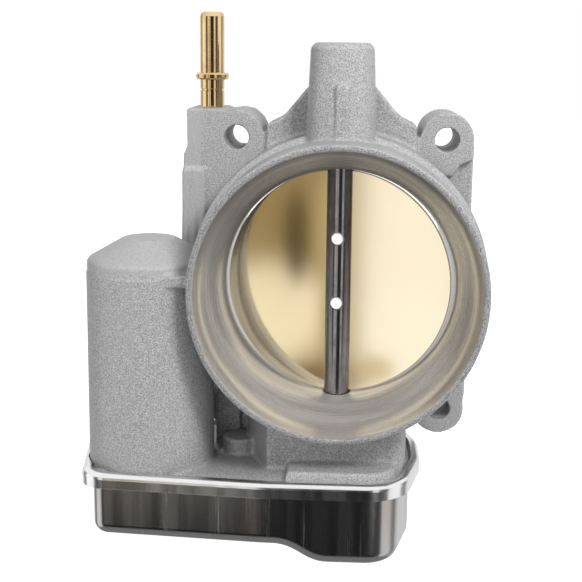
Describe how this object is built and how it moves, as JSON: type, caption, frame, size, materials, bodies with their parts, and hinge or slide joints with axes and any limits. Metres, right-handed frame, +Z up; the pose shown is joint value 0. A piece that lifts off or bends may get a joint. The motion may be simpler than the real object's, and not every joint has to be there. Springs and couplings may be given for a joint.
{
  "type": "throttle body",
  "caption": "Electronic throttle body: round bore with a plate on a vertical shaft, side motor case, geared drive under a drawn cover, hose spigot and flanged ears.",
  "frame": {"origin": "middle of the main bore at the mounting face", "axes": "+Y is the air flow toward the manifold and the mounting face's outward normal, +Z runs up the throttle shaft, +X is to the right when looking into the inlet"},
  "size_m": [0.1518, 0.0898, 0.1928],
  "materials": {
    "cast_alloy": "sand-grained die casting, satin",
    "drawn_steel": "bright plated deep-drawn sheet with draw lines",
    "brass": "polished",
    "plate_brass": "polished sheet",
    "shaft_steel": "ground bar",
    "steel": "bright machined",
    "bearing_steel": "ground",
    "spring_steel": "drawn wire",
    "gear_plastic": "moulded, natural",
    "black_plastic": "moulded",
    "seal_rubber": "moulded",
    "magnet": "sintered ferrite",
    "lamination": "stamped stack",
    "copper": "enamelled copper",
    "carbon": "pressed graphite",
    "board": "circuit board lacquer",
    "wire_cover": "wire sheath"
  },
  "bodies": {
    "housing": {"throttle_housing": "cast_alloy", "gear_cover": "drawn_steel", "cover_gasket": "seal_rubber", "port_tube": "brass", "upper_bearing": "bearing_steel", "lower_bearing": "bearing_steel", "upper_shaft_seal": "seal_rubber", "lower_shaft_seal": "seal_rubber", "boss_plug": "steel", "return_spring": "spring_steel", "intermediate_axle": "steel", "motor_can": "steel", "motor_washer": "spring_steel", "motor_magnets": "magnet", "motor_end_plate": "black_plastic", "motor_brushes": "carbon", "motor_bushes": "brass", "motor_screws": "steel", "stop_screw": "steel", "sensor_board": "board", "sensor_screws": "steel", "connector_body": "black_plastic", "connector_seal": "seal_rubber", "connector_terminals": "brass", "connector_screws": "steel", "motor_leads": "wire_cover", "sensor_leads": "wire_cover"},
    "throttle": {"throttle_shaft": "shaft_steel", "throttle_plate": "plate_brass", "plate_screws": "steel", "sector_gear": "gear_plastic", "gear_nut": "steel", "gear_washer": "steel", "sensor_rotor": "black_plastic"},
    "intermediate": {"intermediate_gear": "gear_plastic"},
    "motor_rotor": {"motor_shaft": "steel", "motor_pinion": "brass", "armature_core": "lamination", "armature_windings": "copper", "commutator": "copper"}
  },
  "joints": [
    {"name": "throttle_turn", "type": "hinge", "parent": "housing", "child": "throttle", "pos_m": [0, -0.0446, 0], "axis": [0, 0, -1], "range_deg": [-9, 76], "deforming": ["return_spring"]},
    {"name": "intermediate_spin", "type": "hinge", "parent": "housing", "child": "intermediate", "pos_m": [-0.03592, -0.04225, -0.08], "axis": [0, 0, -1], "range_deg": [-230, 29]},
    {"name": "motor_spin", "type": "hinge", "parent": "housing", "child": "motor_rotor", "pos_m": [-0.068, -0.05, -0.04], "axis": [0, 0, -1], "range_deg": [-125, 1030]}
  ],
  "couplings": [
    {"joint": "intermediate_spin", "follows": "throttle_turn", "ratio": -3},
    {"joint": "motor_spin", "follows": "throttle_turn", "ratio": 13.5}
  ]
}
